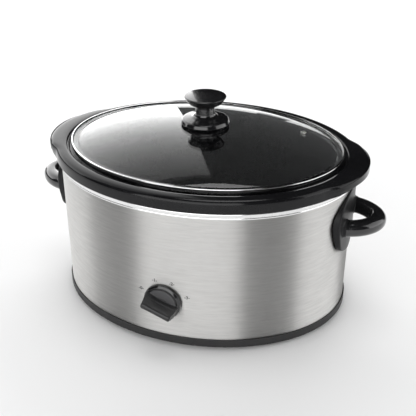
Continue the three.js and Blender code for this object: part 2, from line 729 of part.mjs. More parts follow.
function addLidGlass() {
  const shares = [0.955, 0.9, 0.78, 0.6, 0.38, 0.18];
  const upper = shares.map((share) => [glassB * share, domeHeight(share)]);
  const lower = [...shares].reverse().map((share) => [glassB * share, domeHeight(share) - glassThick]);
  const dome = oval([
    [0, glassTop - glassThick], ...lower, [glassB - 0.6, glassEdgeTop - glassThick],
    [glassB, glassEdgeTop - glassThick + 0.7], [glassB, glassEdgeTop - 0.7],
    [glassB - 0.6, glassEdgeTop], ...upper, [0, glassTop],
  ], domeStretch);
  const screwHole = rod(lidScrewRadius + 1, 60, [0, 0, glassEdgeTop - 10]);
  const ventHole = rod(ventRadius + gap, 60, [...ventPlace, glassEdgeTop - 20]);
  add('lid_glass', cut(dome, screwHole, ventHole), clearGlass);
}

function addLidBand() {
  const inner = lidB - lidBandThick;
  const lipTop = glassEdgeTop - glassThick - gap;
  add('lid_band', oval([
    [inner, lidFoot], [lidB, lidFoot], [lidB, lidBandTop - 0.7], [lidB - 0.5, lidBandTop],
    [inner - lidFlange, lidBandTop], [inner - lidFlange, lidBandTop - lidBandThick],
    [inner, lidBandTop - lidBandThick], [inner, lipTop], [inner - lidFlange, lipTop],
    [inner - lidFlange, lipTop - lidBandThick], [inner, lipTop - lidBandThick],
  ]), polishedSteel);
}

function addSteamVent() {
  const share = Math.hypot(ventPlace[0] / (glassB + ovalExtra), ventPlace[1] / glassB);
  const top = domeHeight(share);
  const slope = (domeHeight(share + 0.02) - domeHeight(share - 0.02)) / (0.04 * (glassB + ovalExtra));
  const rise = Math.abs(slope) * (ventRadius + ventFlange + 0.6) + gap;
  const eyelet = turned([
    [ventRadius - 1, top - glassThick - rise], [ventRadius, top - glassThick - rise],
    [ventRadius, top + rise], [ventRadius + ventFlange, top + rise],
    [ventRadius + ventFlange, top + rise + 0.6],
    [ventRadius + ventFlange - 0.4, top + rise + 0.9], [ventRadius - 1, top + rise + 0.9],
  ]);
  add('steam_vent', placed(eyelet, [...ventPlace, 0]), platedSteel);
}

function addLidKnob() {
  const gasketLow = glassTop + gap;
  const gasketHigh = gasketLow + 1;
  add('lid_gasket', ring(lidScrewRadius + 2, 13, gasketLow, gasketHigh), blackRubber);
  const flangeLow = gasketHigh + gap;
  const flangeTop = flangeLow + knobFlangeHeight;
  add('lid_knob_base', turned([
    [lidScrewRadius + gap, flangeLow], [20, flangeLow], [22, flangeLow - 1.2],
    [knobFlangeRadius - 0.6, flangeLow - 1.2], [knobFlangeRadius, flangeLow - 0.4],
    [knobFlangeRadius - 2.5, flangeTop - 0.6], [knobFlangeRadius - 3.2, flangeTop],
    [knobNeckRadius + 3.4, flangeTop - 0.4], [knobNeckRadius + 2.4, flangeTop + 1.4],
    [lidScrewRadius + gap, flangeTop + 1.4],
  ], 28), blackPlastic);
  const neckLow = flangeTop + 1.4 + gap;
  const discLow = lidTopHeight - knobDiscHeight;
  const boreTop = discLow - 1;
  add('lid_knob', turned([
    [lidScrewRadius + gap, neckLow], [knobNeckRadius + 0.6, neckLow], [knobNeckRadius, neckLow + 1.4],
    [knobNeckRadius, discLow - 2.4], [knobNeckRadius + 1.4, discLow - 0.8], [knobDiscRadius - 5, discLow],
    [knobDiscRadius - 0.6, lidTopHeight - 2], [knobDiscRadius, lidTopHeight - 0.8],
    [knobDiscRadius - 0.8, lidTopHeight], [0, lidTopHeight], [0, boreTop],
    [lidScrewRadius + gap, boreTop],
  ], 28), blackPlastic);
  const under = glassTop - glassThick - gap;
  add('lid_washer', ring(lidScrewRadius + gap, 9, under - 1.4, under - 0.4), platedSteel);
  const headTop = under - 1.4 - gap;
  add('lid_screw', turned([
    [0, headTop - 2.6], [3.6, headTop - 2.6], [4.4, headTop - 1.6], [4.4, headTop],
    [lidScrewRadius, headTop], [lidScrewRadius, boreTop - 2], [0, boreTop - 2],
  ], 16), platedSteel);
}

addFeet();
addBaseTray();
addOuterShell();
addTrimRing();
addHeatingWell();
addHeater();
addTie();
addSwitch();
addSelector();
addSupply();
addLeads();
addHandles();
addCrock();
addLidGlass();
addLidBand();
addSteamVent();
addLidKnob();

export default cooker;
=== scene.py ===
"""Looks of the oval slow cooker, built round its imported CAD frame. Blender 4.5, metres, +Z up."""

import math

import bmesh
import bpy
from mathutils import Matrix, Vector


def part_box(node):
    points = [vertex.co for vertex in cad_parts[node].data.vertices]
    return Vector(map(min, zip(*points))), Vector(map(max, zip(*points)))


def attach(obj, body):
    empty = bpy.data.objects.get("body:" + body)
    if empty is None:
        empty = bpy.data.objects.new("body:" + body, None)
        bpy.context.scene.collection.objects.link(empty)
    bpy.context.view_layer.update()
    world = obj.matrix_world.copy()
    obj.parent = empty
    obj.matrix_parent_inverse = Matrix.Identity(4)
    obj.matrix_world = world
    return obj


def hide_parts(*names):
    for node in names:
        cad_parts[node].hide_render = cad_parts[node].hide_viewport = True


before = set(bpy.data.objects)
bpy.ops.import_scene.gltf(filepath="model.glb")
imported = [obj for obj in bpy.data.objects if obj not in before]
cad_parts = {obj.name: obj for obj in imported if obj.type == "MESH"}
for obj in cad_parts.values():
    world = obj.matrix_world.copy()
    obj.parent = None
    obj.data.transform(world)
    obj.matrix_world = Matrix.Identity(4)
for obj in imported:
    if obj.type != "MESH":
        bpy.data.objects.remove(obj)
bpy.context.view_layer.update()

# Shapes below are worked out in millimetres and scaled when a mesh is made.
MM = 0.001


def frame_mm(node):
    """Lowest and highest corner of a CAD node, in millimetres."""
    low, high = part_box(node)
    return low / MM, high / MM


# ---- sizes that come from the frame ----
shell_low, shell_high = frame_mm("outer_shell")
trim_low, trim_high = frame_mm("trim_ring")
tray_low, tray_high = frame_mm("base_tray")
well_low, well_high = frame_mm("heating_well")
crock_low, crock_high = frame_mm("stoneware_crock")
glass_low, glass_high = frame_mm("lid_glass")
band_low, band_high = frame_mm("lid_band")
knob_low, knob_high = frame_mm("lid_knob")
flange_low, flange_high = frame_mm("lid_knob_base")
selector_low, selector_high = frame_mm("control_knob")
handle_reach = frame_mm("right_handle")[1].x

OVAL_Y = (shell_low.y + shell_high.y) / 2
WALL_TOP_B = (shell_high.y - shell_low.y) / 2
OVAL_EXTRA = (shell_high.x - shell_low.x) / 2 - WALL_TOP_B
RIM_B = (crock_high.y - crock_low.y) / 2
LID_B = (band_high.y - band_low.y) / 2
GLASS_B = (glass_high.y - glass_low.y) / 2
GLASS_A = (glass_high.x - glass_low.x) / 2
SELECTOR_Z = (selector_low.z + selector_high.z) / 2

# ---- sizes chosen here, as in the CAD model ----
GAP = 0.4
WALL_FLARE = 1.3  # the wall's top is this much further out than its foot
WALL_THICK = 0.8
WELL_THICK = 1.0
TRIM_WIDTH = 11.0
NECK_B = WALL_TOP_B - 13.8  # half depth of the crock just under its rim
CROCK_HEEL = 50.0  # height at which its side turns towards the bottom
CROCK_TAPER = 14.5
CROCK_WALL = 7.0
CROCK_GAP = 2.0  # to the well
EAR_LENGTH = 10.2  # the lug at each end of the crock
EAR_HALF = 69.0
EAR_START = 16.0
EAR_LIFT = 4.5
RECESS_B = RIM_B - 15.2  # the step in the rim that the lid sits in
GLASS_THICK = 4.0
GLASS_RISE = 22.0
GLASS_LAND = 0.955  # share of the glass that is domed, inside its flat edge
HANDLE_Z = 118.6
HANDLE_HALF = 29.0  # the loop's centre line, where it meets the plate
BAR_TALL = 16.6
BAR_WIDE = 18.6
PLATE_HALF = 48.0
PLATE_TOP = 39.0
PLATE_BOTTOM = -37.0
PLATE_PROUD = 1.8  # outside the wall at its middle
PLATE_BOW = 5.5  # how far its face falls back at PLATE_BOW_AT
PLATE_BOW_AT = 53.0
SELECTOR_RADIUS = 20.4
SELECTOR_ANGLE = 70.0  # of the grip from upright, at the first setting
BUSH_RADIUS = 4.6
GLAND_Z = 26.0
GLAND_RADIUS = 6.35
SCREW_HOLE = 2.4
TIE_STUD_HOLE = 3.4
LID_SCREW_HOLE = 3.0
VENT_HOLE = 2.3

CORNERS = ("front_right", "front_left", "rear_right", "rear_left")

OVAL_STEPS = 288
TURN_STEPS = 72


# ---- mesh helpers ----
def mesh_from(name, bm):
    mesh = bpy.data.meshes.new(name)
    bm.to_mesh(mesh)
    bm.free()
    return mesh


def placed(name, data):
    """A new object of the scene."""
    made = bpy.data.objects.new(name, data)
    bpy.context.scene.collection.objects.link(made)
    return made


def shade_smooth(mesh, sharp=None):
    """Smooth shading, with edges sharper than an angle kept as edges."""
    mesh.polygons.foreach_set("use_smooth", [True] * len(mesh.polygons))
    if sharp:
        mesh.set_sharp_from_angle(angle=math.radians(sharp))


def even_normals(piece):
    normals = piece.modifiers.new("even_normals", "WEIGHTED_NORMAL")
    normals.keep_sharp = True


def loft(bm, rings):
    """Joins a run of vertex rings, each to the next, and closes both ends."""
    for one, two in zip(rings, rings[1:]):
        for k in range(len(one)):
            j = (k + 1) % len(one)
            bm.faces.new([one[k], one[j], two[j], two[k]])
    bm.faces.new(rings[0])
    bm.faces.new(rings[-1])


def finish_mesh(name, bm, sharp=40.0, weighted=True):
    """Turns a bmesh in millimetres into a smooth-shaded object in metres."""
    bmesh.ops.remove_doubles(bm, verts=bm.verts, dist=1e-4)
    bmesh.ops.recalc_face_normals(bm, faces=bm.faces)
    bmesh.ops.scale(bm, verts=bm.verts, vec=(MM, MM, MM))
    mesh = mesh_from(name, bm)
    shade_smooth(mesh, sharp)
    piece = placed(name, mesh)
    if weighted:
        even_normals(piece)
    return piece


def rounded(corners, steps=5):
    """A polyline whose corners are turned by curves. A corner is (values..., radius)."""
    points = []
    count = len(corners)
    for i, corner in enumerate(corners):
        here = Vector(corner[:-1])
        radius = corner[-1]
        if radius == 0:
            points.append(here)
            continue
        before = Vector(corners[i - 1][:-1])
        after = Vector(corners[(i + 1) % count][:-1])
        reach_in = min(radius, (before - here).length * 0.48)
        reach_out = min(radius, (after - here).length * 0.48)
        start = here + (before - here).normalized() * reach_in
        end = here + (after - here).normalized() * reach_out
        for k in range(steps + 1):
            t = k / steps
            points.append(start * (1 - t) ** 2 + here * 2 * t * (1 - t) + end * t ** 2)
    return points


def stretch_at(radius):
    """Extra half length of an oval at a half depth, faded to nothing at the axis."""
    return OVAL_EXTRA * min(1.0, radius / 60.0)


def dome_stretch(radius):
    """Extra half length on the glass dome, whose outlines are all scaled alike."""
    return radius * (GLASS_A - GLASS_B) / GLASS_B


def no_stretch(radius):
    return 0.0


def turned(name, profile, centre=(0.0, 0.0), stretch=no_stretch, steps=TURN_STEPS,
           shape=None, sharp=40.0, lengthwise_uv=False):
    """Turns a closed profile of (half depth, height, ...) points into a round or oval piece."""
    bm = bmesh.new()
    uv_layer = bm.loops.layers.uv.new("around") if lengthwise_uv else None
    columns = []
    for step in range(steps):
        angle = 2 * math.pi * step / steps
        column = []
        for point in profile:
            radius = point[0]
            x = (radius + stretch(radius)) * math.cos(angle)
            y = radius * math.sin(angle)
            place = Vector((x, y, point[1]))
            if shape:
                place = shape(place, point)
            column.append(bm.verts.new((centre[0] + place.x, centre[1] + place.y, place.z)))
        columns.append(column)
    mean_radius = max(point[0] for point in profile) + stretch(100.0) / 2
    for step in range(steps):
        one, two = columns[step], columns[(step + 1) % steps]
        for k in range(len(profile)):
            after = (k + 1) % len(profile)
            if profile[k][0] < 1e-6 and profile[after][0] < 1e-6:
                continue
            ring = [one[k], one[after], two[after], two[k]]
            if profile[after][0] < 1e-6:
                ring = [one[k], one[after], two[k]]
            elif profile[k][0] < 1e-6:
                ring = [one[k], one[after], two[after]]
            face = bm.faces.new(ring)
            if uv_layer:
                for loop in face.loops:
                    past = loop.vert in two and step == steps - 1
                    turn = steps if past else (step + (loop.vert in two))
                    across = 2 * math.pi * turn / steps * mean_radius * MM
                    loop[uv_layer].uv = (across, loop.vert.co.z * MM)
    return finish_mesh(name, bm, sharp)


def oval(name, profile, **options):
    return turned(name, profile, centre=(0.0, OVAL_Y), stretch=options.pop("stretch", stretch_at),
                  steps=OVAL_STEPS, **options)


def cylinder_tool(radius, low, high, place, direction=(0, 0, 1)):
    """A closed cylinder for cutting a hole, removed once it is used."""
    bm = bmesh.new()
    bmesh.ops.create_cone(bm, cap_ends=True, segments=48, radius1=radius, radius2=radius, depth=high - low)
    bmesh.ops.translate(bm, verts=bm.verts, vec=(0, 0, (low + high) / 2))
    turn = Vector((0, 0, 1)).rotation_difference(Vector(direction)).to_matrix()
    bmesh.ops.rotate(bm, verts=bm.verts, matrix=turn)
    bmesh.ops.translate(bm, verts=bm.verts, vec=place)
    return finish_mesh("tool", bm, weighted=False)


def apply_modifiers(piece):
    """Replaces a piece's mesh by what its modifiers make of it."""
    bpy.context.view_layer.update()
    seen = piece.evaluated_get(bpy.context.evaluated_depsgraph_get())
    mesh = bpy.data.meshes.new_from_object(seen)
    piece.modifiers.clear()
    piece.data = mesh


def drill(piece, tools, sharp=40.0):
    """Cuts holes in a piece with tools that are then removed, and shades it smooth."""
    piece.modifiers.clear()
    for tool in tools:
        cutter = piece.modifiers.new("hole", "BOOLEAN")
        cutter.object = tool
        cutter.operation = "DIFFERENCE"
        cutter.solver = "EXACT"
    apply_modifiers(piece)
    for tool in tools:
        bpy.data.objects.remove(tool)
    shade_smooth(piece.data, sharp)
    even_normals(piece)


def fused(name, parts, voxel, passes):
    """Fuses overlapping closed parts into one moulding with softened corners."""
    bm = bmesh.new()
    for part in parts:
        bm.from_mesh(part.data)
        bpy.data.objects.remove(part)
    piece = placed(name, mesh_from(name, bm))
    remesh = piece.modifiers.new("fuse", "REMESH")
    remesh.mode = "VOXEL"
    remesh.voxel_size = voxel * MM
    smooth = piece.modifiers.new("soften", "SMOOTH")
    smooth.factor = 0.5
    smooth.iterations = passes
    apply_modifiers(piece)
    shade_smooth(piece.data)
    return piece


# ---- places on the wall ----
def wall_b(z):
    """Half depth of the wall's outer face at a height."""
    return WALL_TOP_B - WALL_FLARE * (shell_high.z - z) / (shell_high.z - shell_low.z)


def wall_x(y, z, offset=0.0):
    """Where the wall's outer face, moved outwards, lies at a distance from the X axis."""
    half = wall_b(z) + offset
    return (half + OVAL_EXTRA) * math.sqrt(1 - (y / half) ** 2)


def wall_front(x, z, offset=0.0):
    """The y of the wall's outer face, moved outwards, at an x on its front."""
    half = wall_b(z) + offset
    return OVAL_Y - half * math.sqrt(1 - (x / (half + OVAL_EXTRA)) ** 2)


def crock_b(z):
    """Half depth of the crock's side at a height above its heel."""
    top = trim_high.z + GAP
    return NECK_B - CROCK_TAPER * (top - z) / (top - CROCK_HEEL)


# ---- camera ----
def add_camera():
    """Three-quarter view from the right and above, with a small shift of the frame."""
    azimuth, elevation, distance = math.radians(19.249), math.radians(27.354), 0.8847
    back = Vector((
        math.sin(azimuth) * math.cos(elevation),
        -math.cos(azimuth) * math.cos(elevation),
        math.sin(elevation),
    ))
    target = Vector((0, OVAL_Y * MM, 0.110))
    data = bpy.data.cameras.new("camera")
    data.lens = 66.191
    data.sensor_width = 36
    data.shift_x = 0.00652
    data.shift_y = -0.02014
    camera = placed("camera", data)
    camera.location = target + back * distance
    camera.rotation_euler = (-back).to_track_quat("-Z", "Y").to_euler()
    bpy.context.scene.camera = camera


# ---- studio ----
def scrim(name, azimuths, elevations, radius, low, high, steps=16):
    """A curved light panel round the object, of strength low at its lower edge and high at its upper."""
    bm = bmesh.new()
    rows = []
    for i in range(steps + 1):
        elevation = math.radians(elevations[0] + (elevations[1] - elevations[0]) * i / steps)
        row = []
        for k in range(steps + 1):
            azimuth = math.radians(azimuths[0] + (azimuths[1] - azimuths[0]) * k / steps)
            row.append(bm.verts.new((
                radius * math.sin(azimuth) * math.cos(elevation),
                -radius * math.cos(azimuth) * math.cos(elevation),
                radius * math.sin(elevation) + 0.1,
            )))
        rows.append(row)
    for lower, upper in zip(rows, rows[1:]):
        for k in range(steps):
            bm.faces.new([lower[k], lower[k + 1], upper[k + 1], upper[k]])
    panel = placed(name, mesh_from(name, bm))
    panel.visible_camera = False
    panel.visible_shadow = False
    look = bpy.data.materials.new(name)
    look.use_nodes = True
    nodes, links = look.node_tree.nodes, look.node_tree.links
    nodes.clear()
    place = nodes.new("ShaderNodeTexCoord")
    parts = nodes.new("ShaderNodeSeparateXYZ")
    fade = nodes.new("ShaderNodeMapRange")
    fade.inputs["To Min"].default_value = low
    fade.inputs["To Max"].default_value = high
    light = nodes.new("ShaderNodeEmission")
    out = nodes.new("ShaderNodeOutputMaterial")
    links.new(place.outputs["Generated"], parts.inputs[0])
    links.new(parts.outputs["Z"], fade.inputs["Value"])
    links.new(fade.outputs[0], light.inputs["Strength"])
    links.new(light.outputs[0], out.inputs["Surface"])
    panel.data.materials.append(look)
    return panel


def area_light(name, place, target, size, power):
    data = bpy.data.lights.new(name, "AREA")
    data.shape = "DISK"
    data.size = size
    data.energy = power
    lamp = placed(name, data)
    lamp.location = place
    lamp.rotation_euler = (Vector(place) - Vector(target)).to_track_quat("Z", "Y").to_euler()
    lamp.visible_camera = False
    return lamp


def add_studio():
    """Pale floor, soft panels round the object, a light above it and one on the floor behind."""
    bm = bmesh.new()
    bmesh.ops.create_grid(bm, x_segments=1, y_segments=1, size=9)
    floor = placed("floor", mesh_from("floor", bm))
    floor_look = bpy.data.materials.new("studio_floor")
    floor_look.use_nodes = True
    shader = floor_look.node_tree.nodes["Principled BSDF"]
    shader.inputs["Base Color"].default_value = (0.86, 0.86, 0.86, 1)
    shader.inputs["Roughness"].default_value = 0.6
    shader.inputs["Specular IOR Level"].default_value = 0.1
    floor.data.materials.append(floor_look)

    # Azimuths run from the front, and to the right as seen from there.
    scrim("panel_left", (-157, -76), (12, 66), 1.9, 3.0, 0.5)
    scrim("panel_right", (73, 128), (-2, 50), 1.9, 2.2, 1.2)
    scrim("panel_low_left", (-157, -126), (-3, 12), 1.9, 2.6, 3.0)
    panel_front = scrim("panel_front", (-35, 30), (0, 42), 1.9, 2.9, 2.0)
    panel_front.visible_transmission = False
    scrim("horizon_left", (-169, -157), (-3, 3), 1.95, 1.2, 1.0)
    scrim("horizon_right", (-190, -174), (-3, 5), 1.95, 1.2, 1.0)
    top_light = area_light("top_light", (0.0, 0.1, 2.1), (0, 0, 0), 1.0, 8)
    top_light.visible_transmission = False
    floor_light = area_light("floor_light", (0.0, 2.2, 1.6), (0, 2.0, 0), 2.0, 34)
    floor_light.visible_glossy = False
    floor_light.visible_transmission = False

    world = bpy.data.worlds.new("studio")
    bpy.context.scene.world = world
    world.use_nodes = True
    background = world.node_tree.nodes["Background"]
    background.inputs["Color"].default_value = (0.96, 0.97, 0.98, 1)
    background.inputs["Strength"].default_value = 0.30
    world.cycles_visibility.glossy = False
    bpy.context.scene.view_settings.view_transform = "Standard"


# ---- materials ----
class Look:
    """A procedural material under construction."""

    def __init__(self, name):
        self.material = bpy.data.materials.new(name)
        self.material.use_nodes = True
        self.tree = self.material.node_tree
        self.shader = self.tree.nodes["Principled BSDF"]

    def set(self, **values):
        """Sets constant values on the shader's own sockets."""
        for key, value in values.items():
            self.shader.inputs[key.replace("_", " ")].default_value = value

    def node(self, kind, inputs=None, **settings):
        made = self.tree.nodes.new(kind)
        for key, value in settings.items():
            setattr(made, key, value)
        for key, value in (inputs or {}).items():
            if isinstance(value, bpy.types.NodeSocket):
                self.tree.links.new(value, made.inputs[key])
            else:
                made.inputs[key].default_value = value
        return made

    def place(self, scale=(1, 1, 1), source="Object"):
        """Coordinates in metres, scaled along each axis."""
        coords = self.node("ShaderNodeTexCoord")
        mapping = self.node("ShaderNodeMapping", {"Vector": coords.outputs[source], "Scale": scale})
        return mapping.outputs[0]

    def noise(self, scale, detail=3.0, roughness=0.55, vector=None):
        vector = vector or self.place()
        made = self.node("ShaderNodeTexNoise", {
            "Vector": vector, "Scale": scale, "Detail": detail, "Roughness": roughness,
        })
        return made.outputs["Fac"]

    def blend(self, value, stops):
        """A colour ramp: stops are (position, brightness or colour)."""
        ramp = self.node("ShaderNodeValToRGB", {"Fac": value})
        elements = ramp.color_ramp.elements
        while len(elements) < len(stops):
            elements.new(0.5)
        for element, (position, colour) in zip(elements, stops):
            element.position = position
            element.color = (*colour, 1) if hasattr(colour, "__len__") else (colour, colour, colour, 1)
        return ramp.outputs["Color"]

    def spread(self, value, low, high, start=0.3, stop=0.7):
        """A value mapped from start..stop to low..high."""
        return self.node("ShaderNodeMapRange", {
            "Value": value, "From Min": start, "From Max": stop, "To Min": low, "To Max": high,
        }).outputs[0]

    def add(self, one, two):
        return self.node("ShaderNodeMath", {0: one, 1: two}, operation="ADD").outputs[0]

    def times(self, one, two):
        return self.node("ShaderNodeMath", {0: one, 1: two}, operation="MULTIPLY").outputs[0]

    def join(self, value, socket):
        self.tree.links.new(value, self.shader.inputs[socket])

    def bump(self, height, distance, strength=1.0):
        made = self.node("ShaderNodeBump", {
            "Height": height, "Distance": distance, "Strength": strength,
        })
        self.join(made.outputs[0], "Normal")


def moulded(name, dark, light, rough, grain_scale, grain_depth, metallic=0.0, blotch_scale=35.0, **values):
    """The common finish: slow colour blotches, uneven roughness and a fine surface grain."""
    look = Look(name)
    look.set(Metallic=metallic, **values)
    blotches = look.noise(blotch_scale, 4.0)
    grain = look.noise(grain_scale, 2.0)
    mixed = look.add(look.times(blotches, 0.7), look.times(grain, 0.3))
    look.join(look.blend(mixed, [(0.3, dark), (0.7, light)]), "Base Color")
    look.join(look.spread(mixed, rough[0], rough[1]), "Roughness")
    look.bump(grain, grain_depth * MM)
    return look.material


def brushed_steel():
    """Stainless sheet brushed round the wall: fine lengthwise lines over slow patches."""
    look = Look("brushed_steel")
    look.set(Metallic=1.0, Anisotropic=1.0, Anisotropic_Rotation=0.25)
    fine = look.noise(1.0, 3.0, 0.6, look.place((75, 1500, 1), "UV"))
    broad = look.noise(1.0, 2.0, 0.5, look.place((30, 330, 1), "UV"))
    patches = look.noise(9.0, 2.0)
    lines = look.add(look.times(fine, 0.55), look.times(broad, 0.45))
    shade = look.add(look.times(lines, 0.85), look.times(patches, 0.15))
    look.join(look.blend(shade, [(0.3, (0.52, 0.515, 0.505)), (0.7, (0.76, 0.755, 0.74))]), "Base Color")
    look.join(look.spread(lines, 0.40, 0.56), "Roughness")
    look.bump(fine, 0.012 * MM)
    tangent = look.node("ShaderNodeTangent", direction_type="RADIAL", axis="Z")
    look.join(tangent.outputs[0], "Tangent")
    return look.material


def polished_steel():
    look = Look("polished_steel")
    look.set(Metallic=1.0)
    smear = look.noise(30.0, 4.0)
    hairlines = look.noise(900.0, 2.0, 0.5, look.place((1, 1, 0.08)))
    mixed = look.add(look.times(smear, 0.6), look.times(hairlines, 0.4))
    look.join(look.blend(mixed, [(0.3, 0.80), (0.7, 0.88)]), "Base Color")
    look.join(look.spread(mixed, 0.06, 0.16), "Roughness")
    look.bump(smear, 0.02 * MM, 0.3)
    return look.material


def lid_glass():
    """Clear soda glass with a faint grey tint and wiped streaks. Lamps shine through it."""
    look = Look("lid_glass")
    look.set(Transmission_Weight=1.0, IOR=1.5)
    wipes = look.noise(14.0, 3.0, 0.5, look.place((1, 3, 1)))
    look.join(look.blend(wipes, [(0.3, (0.90, 0.915, 0.91)), (0.7, (0.95, 0.96, 0.955))]), "Base Color")
    look.join(look.spread(wipes, 0.0, 0.025), "Roughness")
    paths = look.node("ShaderNodeLightPath")
    clear = look.node("ShaderNodeBsdfTransparent", {"Color": (0.88, 0.90, 0.89, 1)})
    mix = look.node("ShaderNodeMixShader", {0: paths.outputs["Is Shadow Ray"]})
    look.tree.links.new(look.shader.outputs[0], mix.inputs[1])
    look.tree.links.new(clear.outputs[0], mix.inputs[2])
    out = look.tree.nodes["Material Output"]
    look.tree.links.new(mix.outputs[0], out.inputs["Surface"])
    return look.material


def glazed_stoneware():
    """Black glaze over faint specks, with the slow ripple of a dipped glaze."""
    look = Look("black_stoneware")
    look.set(IOR=1.34)
    specks = look.noise(420.0, 2.0)
    pools = look.noise(22.0, 3.0)
    mixed = look.add(look.times(specks, 0.4), look.times(pools, 0.6))
    look.join(look.blend(mixed, [(0.3, (0.004, 0.004, 0.0045)), (0.72, (0.010, 0.010, 0.011))]), "Base Color")
    look.join(look.spread(mixed, 0.09, 0.17), "Roughness")
    look.bump(pools, 0.25 * MM, 0.35)
    return look.material


def spun_aluminium():
    """Pressed aluminium with drawing lines that run up the side of the well."""
    look = Look("well_aluminium")
    look.set(Metallic=1.0)
    lines = look.noise(1.0, 3.0, 0.6, look.place((500, 500, 14)))
    stains = look.noise(12.0, 4.0)
    mixed = look.add(look.times(lines, 0.6), look.times(stains, 0.4))
    look.join(look.blend(mixed, [(0.3, (0.42, 0.42, 0.42)), (0.7, (0.60, 0.60, 0.59))]), "Base Color")
    look.join(look.spread(mixed, 0.34, 0.5), "Roughness")
    look.bump(lines, 0.02 * MM)
    return look.material


def make_materials():
    return {
        "brushed_steel": brushed_steel(),
        "polished_steel": polished_steel(),
        "lid_glass": lid_glass(),
        "black_stoneware": glazed_stoneware(),
        "well_aluminium": spun_aluminium(),
        "plated_steel": moulded("plated_steel", (0.50, 0.50, 0.48), (0.66, 0.66, 0.63), (0.22, 0.38),
                                700.0, 0.01, metallic=1.0),
        "black_phenolic": moulded("black_phenolic", (0.007, 0.007, 0.0075), (0.015, 0.015, 0.016),
                                  (0.12, 0.20), 1400.0, 0.004, Coat_Weight=0.7, Coat_Roughness=0.06),
        "plate_phenolic": moulded("plate_phenolic", (0.010, 0.010, 0.0105), (0.018, 0.018, 0.019),
                                  (0.30, 0.42), 1500.0, 0.015, IOR=1.25),
        "satin_phenolic": moulded("satin_phenolic", (0.014, 0.014, 0.0145), (0.024, 0.024, 0.025),
                                  (0.26, 0.38), 1500.0, 0.015),
        # The same black moulding as the knob, but painted grey: the grey base colour is a painted reflection
        # of the floor on the knob's face, and only the higher roughness is its own.
        "matt_phenolic_painted_reflection": moulded("matt_phenolic_painted_reflection", (0.060, 0.060, 0.062), (0.085, 0.085, 0.088),
                                 (0.42, 0.56), 1500.0, 0.02),
        "base_black": moulded("base_black", (0.010, 0.010, 0.0105), (0.018, 0.018, 0.0185), (0.42, 0.58),
                              1600.0, 0.03),
        "rubber": moulded("rubber", (0.012, 0.012, 0.012), (0.03, 0.03, 0.029), (0.7, 0.9), 1200.0, 0.05),
        "heater_mica": moulded("heater_mica", (0.46, 0.39, 0.25), (0.68, 0.60, 0.42), (0.5, 0.8), 300.0, 0.1),
        "felt": moulded("felt", (0.30, 0.29, 0.27), (0.52, 0.51, 0.48), (0.9, 1.0), 500.0, 0.4,
                        Sheen_Weight=0.4),
        "ceramic": moulded("ceramic", (0.74, 0.72, 0.66), (0.86, 0.84, 0.79), (0.35, 0.55), 600.0, 0.03),
        "brass": moulded("brass", (0.52, 0.37, 0.12), (0.72, 0.54, 0.22), (0.2, 0.36), 700.0, 0.01,
                         metallic=1.0),
        "lead_insulation": moulded("lead_insulation", (0.60, 0.57, 0.49), (0.74, 0.71, 0.63), (0.5, 0.7),
                                   900.0, 0.03),
        "print_ink": moulded("print_ink", (0.02, 0.02, 0.022), (0.035, 0.035, 0.037), (0.5, 0.7),
                             1800.0, 0.01),
    }


# ---- pieces ----
def show(piece, slot, body, *nodes):
    """Gives a piece its material, its body and the CAD nodes it stands for."""
    piece.data.materials.clear()
    piece.data.materials.append(MATERIALS[slot])
    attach(piece, body)
    if nodes:
        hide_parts(*nodes)
    return piece


def add_finishes(piece, numbers, *names):
    """Adds materials to a piece. numbers says which one each face has: 0 is the one it had."""
    for name in names:
        piece.data.materials.append(MATERIALS[name])
    piece.data.polygons.foreach_set("material_index", numbers)


def add_wall():
    """The steel wall: a flared oval sheet with its edges turned in, drilled for what passes through."""
    foot, top = shell_low.z, shell_high.z
    foot_b, top_b = wall_b(foot), wall_b(top)
    rows = 30
    face = [(foot_b + (top_b - foot_b) * k / rows, foot + 1.2 + (top - 2.4 - foot) * k / rows)
            for k in range(rows + 1)]
    inside = [(b - WALL_THICK, z) for b, z in reversed(face)]
    profile = [(foot_b - 9, foot), (foot_b - 1.2, foot), (foot_b - 0.35, foot + 0.35), *face,
               (top_b - 0.35, top - 0.35), (top_b - 1.2, top), (top_b - 6.5, top),
               (top_b - 6.5, top - WALL_THICK), (top_b - 1.4, top - WALL_THICK), *inside,
               (foot_b - 1.4, foot + WALL_THICK), (foot_b - 9, foot + WALL_THICK)]
    wall = oval("steel_wall", profile, lengthwise_uv=True)
    tools = [
        cylinder_tool(BUSH_RADIUS + GAP, 0, 30, (0, shell_low.y + 15, SELECTOR_Z), (0, -1, 0)),
        cylinder_tool(GLAND_RADIUS + GAP, 0, 30, (0, shell_high.y - 15, GLAND_Z), (0, 1, 0)),
    ]
    inside_ends = 140
    for side in (-1, 1):
        for y in (-HANDLE_HALF, HANDLE_HALF):
            place = (side * inside_ends, OVAL_Y + y, HANDLE_Z)
            tools.append(cylinder_tool(SCREW_HOLE, 0, 40, place, (side, 0, 0)))
    drill(wall, tools)
    show(wall, "brushed_steel", "housing", "outer_shell")


def add_base():
    """The moulded base: floor tray with the band that wraps the foot of the wall."""
    out = (tray_high.y - tray_low.y) / 2
    low, top = tray_low.z, tray_high.z
    floor_low = low + 0.7
    floor_top = floor_low + 2
    profile = rounded([
        (0, floor_low, 0), (out - 2.6, floor_low, 0.6), (out - 1.8, low, 0.6), (out, low, 1.4),
        (out, top, 0.9), (wall_b(top) + GAP, top, 0.3), (wall_b(floor_top) + GAP, floor_top, 0.2),
        (0, floor_top, 0),
    ])
    base = oval("base_band", profile)
    above = 12
    tools = [cylinder_tool(TIE_STUD_HOLE, 0, above, (0, OVAL_Y, 0))]
    for corner in CORNERS:
        low_corner, high_corner = frame_mm(f"foot_screw_{corner}")
        middle = (low_corner + high_corner) / 2
        tools.append(cylinder_tool(SCREW_HOLE, 0, above, (middle.x, middle.y, 0)))
    drill(base, tools)
    show(base, "base_black", "housing", "base_tray")


